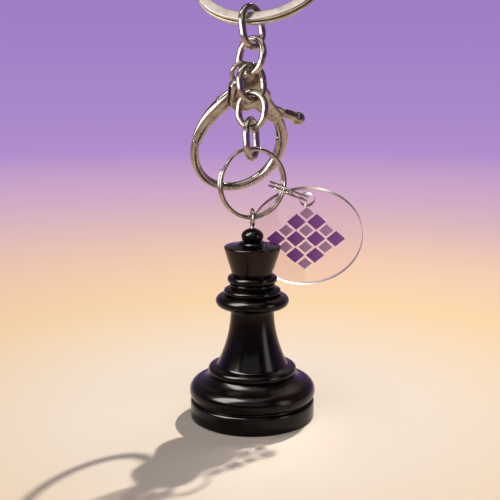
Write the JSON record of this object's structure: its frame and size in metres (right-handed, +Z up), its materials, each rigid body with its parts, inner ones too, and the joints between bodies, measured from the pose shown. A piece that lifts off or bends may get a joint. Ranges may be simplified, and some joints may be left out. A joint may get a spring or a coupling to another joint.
{
  "type": "chess queen key chain",
  "caption": "Black turned chess queen on a key chain: split key ring, chain links, lobster clasp, split rings and a clear round tag.",
  "frame": {"origin": "the point inside the top of the key ring where a hook or a finger holds it", "axes": "+Z up, the front of the queen key chain looks along -Y, +X to the right seen from the front"},
  "size_m": [0.0453, 0.042, 0.1251],
  "materials": {
    "nickel_plate": "bright nickel plate, lightly brushed by wear",
    "polished_steel": "nickel-plated flat steel wire, polished",
    "spring_steel": "plain spring wire",
    "black_lacquer": "black gloss lacquer over turned wood",
    "clear_acrylic": "clear plastic with a print in its middle"
  },
  "bodies": {
    "key_ring": {"key_ring": "polished_steel"},
    "link_1": {"chain_link_1": "nickel_plate"},
    "link_2": {"chain_link_2": "nickel_plate"},
    "link_3": {"chain_link_3": "nickel_plate"},
    "clasp": {"clasp_body": "nickel_plate", "clasp_pin": "polished_steel", "clasp_spring": "spring_steel"},
    "gate": {"clasp_gate": "nickel_plate"},
    "link_4": {"chain_link_4": "nickel_plate"},
    "link_5": {"chain_link_5": "nickel_plate"},
    "charm_ring": {"charm_ring": "nickel_plate"},
    "queen": {"queen": "black_lacquer", "screw_eye": "nickel_plate"},
    "tag_ring": {"tag_ring": "nickel_plate"},
    "tag_disc": {"tag_disc": "clear_acrylic"}
  },
  "joints": [
    {"name": "link_1_hinge", "type": "hinge", "parent": "key_ring", "child": "link_1", "pos_m": [-0.00523, -0.02096, -0.02237], "axis": [0.9703, -0.2419, 0], "range_deg": [-50, 50]},
    {"name": "link_2_hinge", "type": "hinge", "parent": "link_1", "child": "link_2", "pos_m": [-0.004, -0.02124, -0.0289], "axis": [0.6626, 0.7431, 0.0931], "range_deg": [-50, 50]},
    {"name": "link_3_hinge", "type": "hinge", "parent": "link_2", "child": "link_3", "pos_m": [-0.00502, -0.0223, -0.03527], "axis": [0.8038, -0.5785, 0.1387], "range_deg": [-8, 15]},
    {"name": "clasp_hinge", "type": "hinge", "parent": "link_2", "child": "clasp", "pos_m": [-0.00754, -0.0201, -0.03381], "axis": [0.7612, -0.6157, -0.204], "range_deg": [-12, 20]},
    {"name": "gate_hinge", "type": "hinge", "parent": "clasp", "child": "gate", "pos_m": [-0.00606, -0.01618, -0.04129], "axis": [0.3308, -0.8187, -0.4695], "range_deg": [0, 28], "stiffness_Nm_per_rad": 0.03, "springref_deg": -17.19, "deforming": ["clasp_spring"]},
    {"name": "link_4_hinge", "type": "hinge", "parent": "link_3", "child": "link_4", "pos_m": [-0.00426, -0.02224, -0.04177], "axis": [0.8229, 0.5592, 0.101], "range_deg": [-45, 10]},
    {"name": "link_5_hinge", "type": "hinge", "parent": "link_4", "child": "link_5", "pos_m": [-0.00522, -0.0226, -0.04829], "axis": [-0.9067, 0.4067, 0.1113], "range_deg": [-25, 50]},
    {"name": "charm_ring_hinge", "type": "hinge", "parent": "link_5", "child": "charm_ring", "pos_m": [-0.00458, -0.02268, -0.05586], "axis": [0.3416, 0.9397, 0.0179], "range_deg": [-12, 8]},
    {"name": "queen_hinge", "type": "hinge", "parent": "charm_ring", "child": "queen", "pos_m": [-0.00456, -0.02273, -0.07079], "axis": [0.9272, 0.3746, 0], "range_deg": [-50, 10]},
    {"name": "tag_ring_hinge", "type": "hinge", "parent": "charm_ring", "child": "tag_ring", "pos_m": [0.0031, -0.01964, -0.06445], "axis": [0.24, 0.097, 0.9659], "range_deg": [-50, 18]},
    {"name": "tag_disc_hinge", "type": "hinge", "parent": "tag_ring", "child": "tag_disc", "pos_m": [0.00948, -0.01646, -0.06703], "axis": [-0.0327, 0.9962, -0.0808], "range_deg": [-50, 10]}
  ]
}
